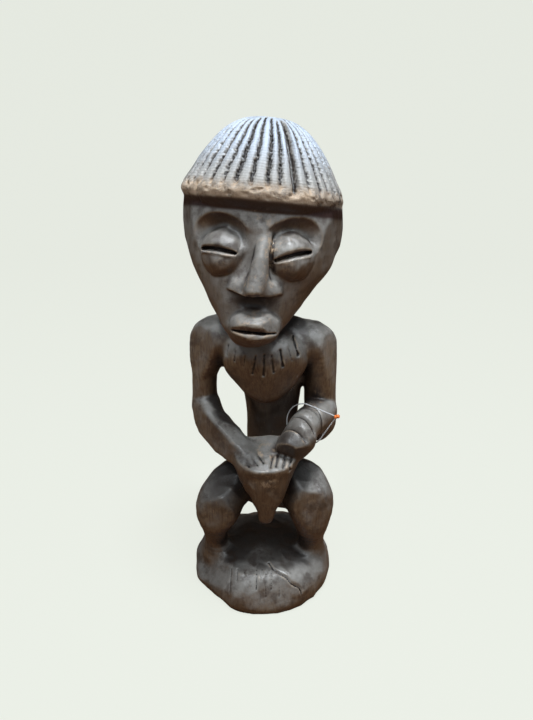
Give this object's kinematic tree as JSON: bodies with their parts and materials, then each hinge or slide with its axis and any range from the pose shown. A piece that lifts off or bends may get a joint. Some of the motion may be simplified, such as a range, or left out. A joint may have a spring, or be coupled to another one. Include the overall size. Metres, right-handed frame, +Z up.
{
  "type": "carved wooden figure",
  "caption": "Carved dark-wood fertility doll: a squatting figure with fluted hair and hands over a tapering form, on a round mound base, with a thin loop loose on its wrist.",
  "frame": {"origin": "middle of the base's flat underside", "axes": "+Z up along the log that the figure is carved from; the figure faces -Y; +X is the figure's left hand side"},
  "size_m": [0.0992, 0.1097, 0.3183],
  "materials": {
    "carved_wood": "dark stained and waxed, worn lighter on the edges",
    "line": "smooth translucent line",
    "clip": "smooth"
  },
  "bodies": {
    "figure": {"carved_figure": "carved_wood"},
    "loop": {"wrist_loop": "line", "loop_clip": "clip"}
  },
  "joints": [
    {"name": "loop_on_wrist", "type": "hinge", "parent": "figure", "child": "loop", "pos_m": [0.0283, -0.0195, 0.131], "axis": [0.5308, 0.8387, -0.122], "range_deg": [-70, 125]}
  ]
}
